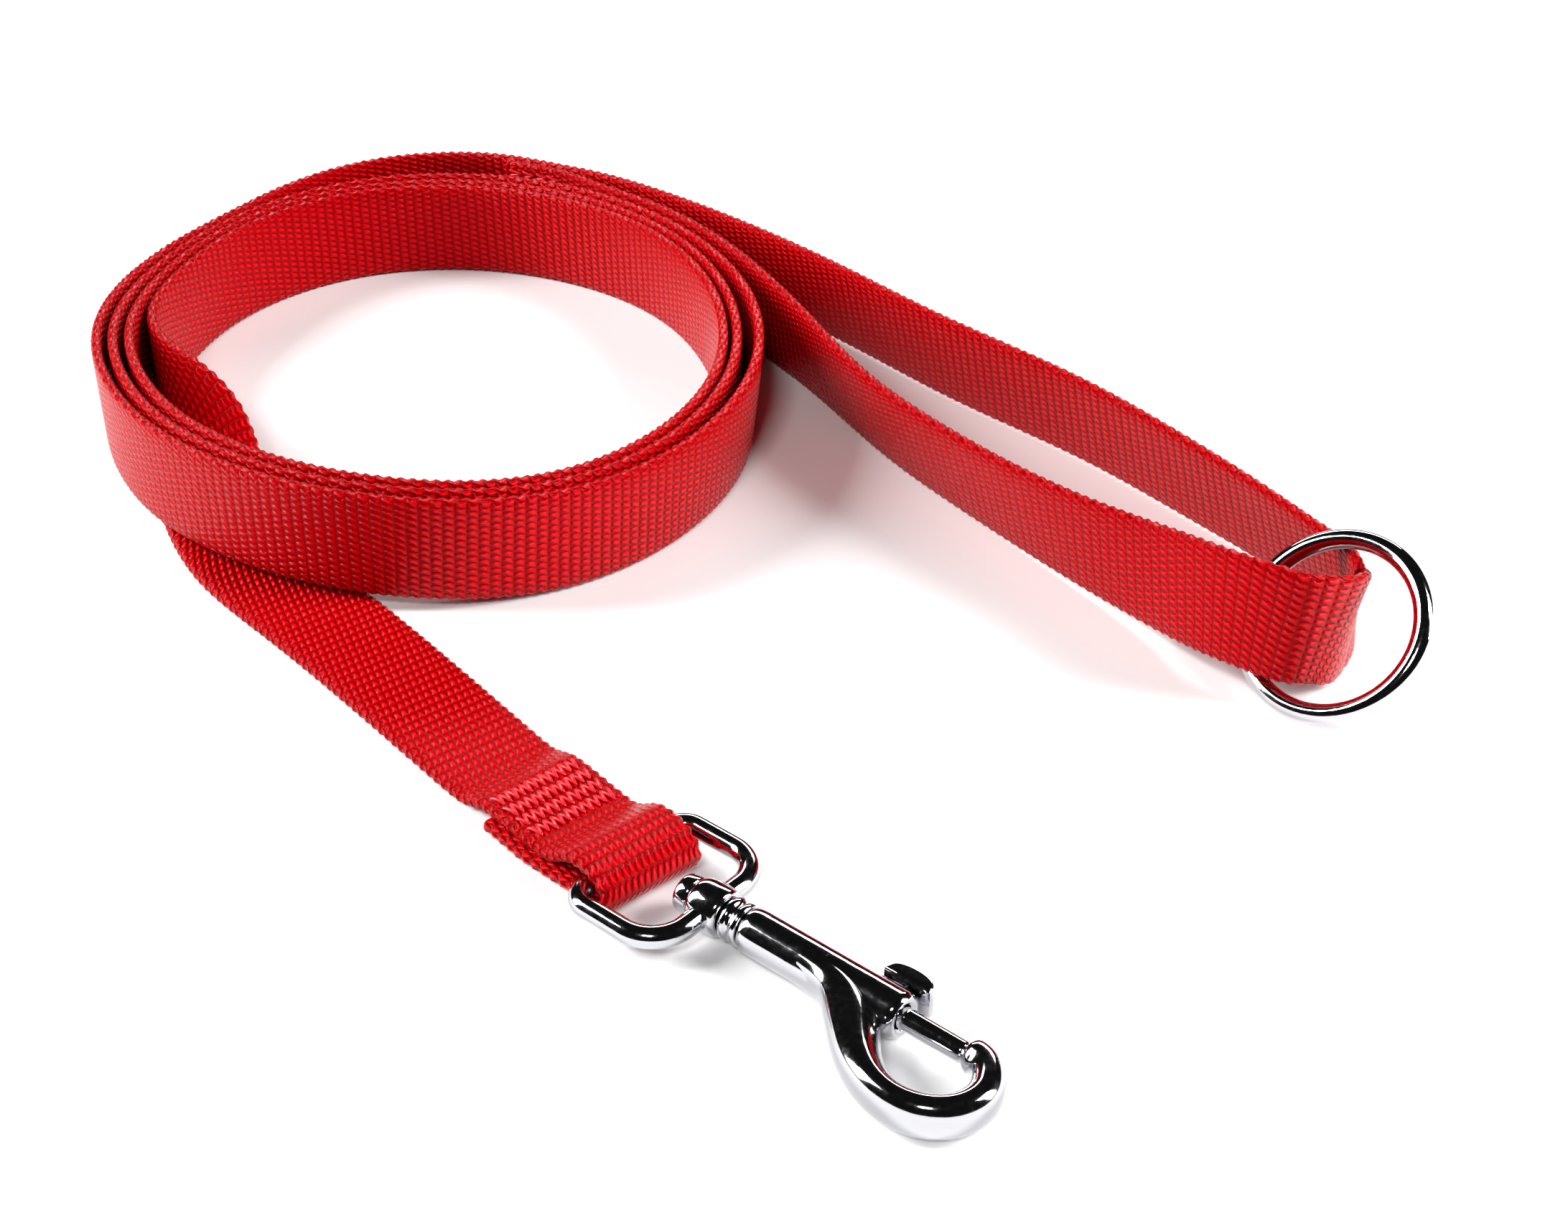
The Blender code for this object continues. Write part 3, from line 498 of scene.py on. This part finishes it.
def stitchRow(name, at, replaced):
    # a dense zigzag of thread over the webbing: a triangle wave across it, dipping into the
    # cloth at each turn where the needle went through
    s = stitching
    centre, ahead, tall, face = (np.array([np.interp(at, walked, c) for c in d.T])
                                 for d in (run[:, :3], *runFrame))
    length = strap["width"] * np.interp(at, (0, strap["widensOver"]), (strap["squeeze"], 1)) - 2 * s["margin"]
    count = 2 * round(length / s["stitch"] / 2)
    t = np.linspace(0, count, count * 8 + 1)
    across = (t / count - 0.5) * length
    swing = (np.abs(t % 2 - 1) - 0.5) * s["swing"]
    wobble = 0.16 * np.sin(t * 1.93 + at) + 0.1 * np.sin(t * 0.71)
    lift = s["loft"] * np.sin(np.pi * (t % 1)) ** 0.6
    out = strap["thick"] / 2 + lift
    path = centre - out[:, None] * face + across[:, None] * tall + (swing + wobble)[:, None] * ahead
    wire = sweptWire(path, face, s["thread"] / 2, 10)
    return newPiece(name, [tubeShell((wire + shift) * mm)], "strap", thread, replaced, 60)


lapStart = walked[-1] - stitching["handleBack"] - (stitching["rows"] - 1) * stitching["pitch"]
for i in range(stitching["rows"]):
    stitchRow(f"hookStitching{i + 1}", stitching["hookAt"] + i * stitching["pitch"], [f"hook_seam_{i + 1}"])
    stitchRow(f"handleStitching{i + 1}", lapStart + i * stitching["pitch"], [f"handle_seam_{i + 1}"])
print("stitching made")

eye = {"wire": 4.2, "inside": 24.6, "front": -5.0, "backCorner": 4.2, "frontCorner": 7.5,
       "boss": 9.4, "bossStart": -8.3, "bossEnd": -1.3, "bore": 4.5}


def cornerArc(u, v, radius, first, last, count):
    t = np.radians(np.linspace(first, last, count))
    return np.stack([u + radius * np.cos(t), v + radius * np.sin(t), 0 * t], axis=1)


def eyePiece():
    # a round wire carried round a rectangle with rounded corners, and a bored boss on its front
    side, backR, frontR = (eye["inside"] + eye["wire"]) / 2, eye["backCorner"], eye["frontCorner"]
    corners = np.vstack([
        cornerArc(eye["front"] - frontR, side - frontR, frontR, 0, 90, 24),
        cornerArc(layout["crossbar"] + backR, side - backR, backR, 90, 180, 18),
        cornerArc(layout["crossbar"] + backR, backR - side, backR, 180, 270, 18),
        cornerArc(eye["front"] - frontR, frontR - side, frontR, 270, 360, 24)])
    # a little thicker where the front bar meets the boss
    near = np.exp(-((corners[:, 0] - eye["front"]) / 3.0) ** 2 - (corners[:, 1] / 7.0) ** 2)
    wire = sweptWire(corners, (0, 0, 1), eye["wire"] / 2 * (1 + 0.12 * near), 32, loop=True)
    edge, bore = eye["boss"] / 2, eye["bore"] / 2
    ring = softened(((eye["bossStart"], bore + 0.3), (eye["bossStart"], edge - 0.9),
                     (eye["bossStart"] + 1.0, edge), (eye["bossEnd"] - 0.8, edge),
                     (eye["bossEnd"], edge - 0.8), (eye["bossEnd"], bore + 0.3)), 3)
    ring = np.vstack([ring, ((eye["bossEnd"] - 0.3, bore), (eye["bossStart"] + 0.3, bore))])
    return newPiece("swivelEye", [tubeShell(inSnap(wire), True), tubeShell(inSnap(lathe(ring)), True)],
                    "eye", castChrome, ["swivel_eye"])


eyePiece()

stud = {"shank": 3.8, "head": 7.4, "headStart": -12.0, "headEnd": -8.6, "end": 7.6}
headEdge, shankEdge = stud["head"] / 2, stud["shank"] / 2
studProfile = np.vstack([
    softened(((stud["headStart"], centreHole), (stud["headStart"], 2.3), (stud["headStart"] + 0.6, 3.5),
              (stud["headStart"] + 1.6, headEdge), (stud["headEnd"] - 0.3, headEdge),
              (stud["headEnd"], 3.4))),
    ((stud["headEnd"], shankEdge), (stud["end"], shankEdge), (stud["end"], centreHole))])
newPiece("swivelStud", [tubeShell(inSnap(lathe(studProfile)))], "snap", wireChrome,
         ["swivel_stud"])

collar = {"start": -0.9, "end": 3.2, "edge": 4.1, "bore": 2.2}
# a bead at each end with a shallow groove between
collarProfile = np.vstack([
    softened(((collar["start"], 2.6), (collar["start"], 3.5), (-0.4, collar["edge"]),
              (0.5, collar["edge"]), (0.9, 3.6), (1.5, 3.55), (1.9, 4.0), (2.7, collar["edge"]),
              (collar["end"], 3.7), (collar["end"], 2.6))),
    ((collar["end"], collar["bore"]), (collar["start"], collar["bore"]))])
newPiece("endCollar", [tubeShell(inSnap(lathe(collarProfile)), True)], "snap",
         castChrome, ["end_collar"])
print("eye, stud and collar made")

snap = {"barrel": 8.6, "start": 3.5, "mouth": 37.4, "bore": 4.6, "boreStart": 9.3,
        "slotLow": 22.4, "slotHigh": 33.9, "slotHalf": 1.45,
        "tipRound": 1.3,  # length over which the hook's tip is rounded off
        # how tall the hook's section is, at distances back from its tip
        "tallAt": (0, 8, 20), "tall": (6.6, 7.4, 8.2)}
# along the snap, out to the hook's side, and the section's width
hookSpine = ((17.0, 1.2, 5.4), (22.0, 1.4, 6.6), (27.0, 3.0, 8.6), (31.4, 6.4, 9.2), (35.6, 10.6, 8.2),
             (40.6, 14.2, 7.0), (46.6, 16.1, 6.0), (52.2, 15.2, 6.0), (56.4, 11.6, 6.2), (57.6, 6.6, 6.4),
             (55.6, 2.2, 6.0), (52.8, 0.2, 5.8), (50.4, 0.0, 5.6))


def hookShell():
    # a section carried along the spine: nearly an ellipse, and a little sharper on the side
    # towards the opening
    rows = spline([(u, -v, 0, width) for u, v, width in hookSpine], 0.45)
    ahead = np.gradient(rows[:, :3], axis=0)
    ahead /= np.linalg.norm(ahead, axis=1)[:, None]
    side = np.cross((0, 0, 1.0), ahead)
    t = np.arange(56) * 2 * np.pi / 56
    c, s = np.cos(t), np.sin(t)
    inner = 1 / (1 + np.exp(c * 8))  # 1 on the side towards the opening
    wide = np.sign(c) * np.abs(c) ** (0.82 + 0.38 * inner)
    high = np.sign(s) * np.abs(s) ** (0.82 + 0.30 * inner)
    left = pathLengths(rows)[-1] - pathLengths(rows)
    tall = np.interp(left, snap["tallAt"], snap["tall"])
    close = np.sqrt(1 - (1 - np.minimum(left / snap["tipRound"], 1)) ** 2 * 0.30)
    across = -(rows[:, 3] / 2 * close)[:, None, None] * wide[None, :, None] * side[:, None]
    up = (tall / 2 * close)[:, None, None] * high[None, :, None] * np.array((0, 0, 1.0))
    return tubeShell(inSnap(rows[:, None, :3] + across + up))


def barrelShells():
    # turned tube in three lengths: closed, open along the knob's slot, and closed at the mouth
    edge, bore = snap["barrel"] / 2, snap["bore"] / 2
    low, high, slack = snap["slotLow"], snap["slotHigh"], snap["slotHalf"]
    rear = np.vstack([
        softened(((snap["start"], centreHole), (snap["start"], 3.5), (snap["start"] + 0.5, edge),
                  (9.0, edge))),
        ((low - slack, edge), (low - slack, bore), (snap["boreStart"], bore),
         (snap["boreStart"], centreHole))])
    front = np.vstack([
        ((high + slack, bore), (high + slack, edge)),
        softened(((high + slack + 0.2, edge), (36.4, edge), (snap["mouth"], edge - 0.6),
                  (snap["mouth"], bore + 0.6), (snap["mouth"] - 0.5, bore)))])
    ends = np.linspace(-np.pi / 2, 0, 12)
    u = np.concatenate([low + slack * np.sin(ends), high - slack * np.sin(ends[::-1])])
    half = slack * np.concatenate([np.cos(ends), np.cos(ends[::-1])])
    t = np.linspace(0, 1, 60)
    sections = []
    for radius, forward in ((edge, True), (bore, False)):
        opening = np.arcsin(np.clip(half / radius, 0, 0.99))[:, None]
        angle = opening + (2 * np.pi - 2 * opening) * (t if forward else t[::-1])
        sections.append(np.stack([np.repeat(u[:, None], len(t), axis=1), radius * np.cos(angle),
                                  radius * np.sin(angle)], axis=-1))
    return [tubeShell(inSnap(lathe(rear))), tubeShell(inSnap(lathe(front)), True),
            tubeShell(inSnap(np.concatenate(sections, axis=1)))]


newPiece("snapBody", [hookShell(), *barrelShells()], "snap", castChrome, ["snap_body"], 38)

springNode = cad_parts["return_spring"]
springNode.data.materials.clear()
springNode.data.materials.append(springSteel)
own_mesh(springNode)
print("snap body made")

bolt = {"edge": 2.0, "rear": 28.6, "tip": 50.5, "knobAt": 33.9, "sides": 56}
boltProfile = softened((
    (bolt["rear"], centreHole), (bolt["rear"], 1.6), (bolt["rear"] + 0.4, bolt["edge"]), (30, bolt["edge"]),
    (48.9, bolt["edge"]), (49.6, 1.9), (bolt["tip"], 1.1), (bolt["tip"], centreHole)))
newPiece("boltPin", [tubeShell(inSnap(lathe(boltProfile, bolt["sides"])))], "bolt",
         wireChrome, ["bolt_pin"])

knob = {
    "long": 9.6, "deep": 3.4, "tall": 6.4, "flat": 4.8, "round": 0.7,
    "stem": 1.0, "stemFrom": 2.02,  # radius, and the distance from the bolt's axis where it begins
}


def knobPiece():
    # a half-round outline stacked up its height, drawn in at top and bottom to round the edges
    t = np.linspace(0, np.pi, 40)
    level = np.radians(np.linspace(-90, 90, 15))
    height = np.sin(level) * knob["round"] + np.where(level > 0, 1, -1) * (knob["tall"] / 2 - knob["round"])
    height[7] = 0  # the middle one of the fifteen levels
    inset = knob["round"] * (1 - np.cos(level))
    half = knob["long"] / 2 - inset[:, None]
    deep = knob["deep"] - 2 * inset[:, None]
    u = bolt["knobAt"] + half * np.cos(t)
    q = knob["flat"] + inset[:, None] + deep * np.sin(t) ** 0.7
    pad = np.stack([u, q, np.repeat(height[:, None], len(t), axis=1)], axis=-1)
    a = np.arange(32) * 2 * np.pi / 32
    c, s = knob["stem"] * np.cos(a), knob["stem"] * np.sin(a)
    stem = np.stack([np.stack([bolt["knobAt"] + c, np.full(32, y), s], axis=-1)
                     for y in (knob["stemFrom"], knob["flat"] + 1)])
    return newPiece("thumbKnob", [tubeShell(inSnap(pad)), tubeShell(inSnap(stem))], "bolt",
                    castChrome, ["thumb_knob"], 50)


knobPiece()
print("bolt and knob made")

ring = {"centre": (125.2, -43.5, 15.442), "axis": (-0.54, -0.465, 0.70), "radius": 18.1, "wire": 4.0,
        "weldAt": 30.0, "weld": 0.28}


def ringPiece():
    # a round wire bent to a circle, with the small rough swelling of its butt weld
    axis = np.array(ring["axis"]) / np.linalg.norm(ring["axis"])
    first = np.cross(axis, (0, 0, 1.0))
    first /= np.linalg.norm(first)
    t = np.arange(240) * 2 * np.pi / 240
    path = ring["radius"] * (np.cos(t)[:, None] * first + np.sin(t)[:, None] * np.cross(axis, first))
    away = (np.degrees(t) - ring["weldAt"] + 180) % 360 - 180
    radius = ring["wire"] / 2 + ring["weld"] * np.exp(-(away / 3.2) ** 2) * (0.7 + 0.3 * np.cos(away * 1.7))
    wire = sweptWire(path + ring["centre"], axis, radius, 40, loop=True)
    return newPiece("handleRing", [tubeShell((wire + shift) * mm, True)], "ring",
                    wireChrome, ["handle_ring"])


ringPiece()
print("ring made")

studio = {
    "floor": "#FAFAFA",
    # place and size across and up in metres, power in watts; each is aimed at the leash's middle
    "lamps": (((-1.15, 0.1, 0.62), (0.45, 1.0), 29), ((1.2, -0.1, 0.62), (0.45, 1.0), 29),
              ((0.1, 1.5, 0.8), (1.8, 0.25), 11), ((-0.25, -1.1, 1.3), (0.4, 0.25), 9)),
    "surround": 0.008,
}
floorMesh = bpy.data.meshes.new("floor")
floorMesh.from_pydata([(-6, -4, 0), (6, -4, 0), (6, 8, 0), (-6, 8, 0)], [], [(0, 1, 2, 3)])
floor = bpy.data.objects.new("floor", floorMesh)
bpy.context.scene.collection.objects.link(floor)
paper, _, _ = newMaterial("mattPaperFloor", Base_Color=linear(studio["floor"]), Roughness=0.9)
floorMesh.materials.append(paper)
for i, (place, size, power) in enumerate(studio["lamps"]):
    lamp = bpy.data.lights.new(f"lamp{i + 1}", "AREA")
    lamp.shape = "RECTANGLE"
    lamp.size, lamp.size_y = size
    lamp.energy = power
    lampObject = bpy.data.objects.new(f"lamp{i + 1}", lamp)
    lampObject.location = place
    aim = -lampObject.location
    lampObject.rotation_euler = aim.to_track_quat("-Z", "Y").to_euler()
    bpy.context.scene.collection.objects.link(lampObject)
world = bpy.data.worlds.new("studio")
world.use_nodes = True
world.node_tree.nodes["Background"].inputs[0].default_value = (1, 1, 1, 1)
world.node_tree.nodes["Background"].inputs[1].default_value = studio["surround"]
bpy.context.scene.world = world
bpy.context.scene.view_settings.view_transform = "Standard"
print("floor and lamps made")
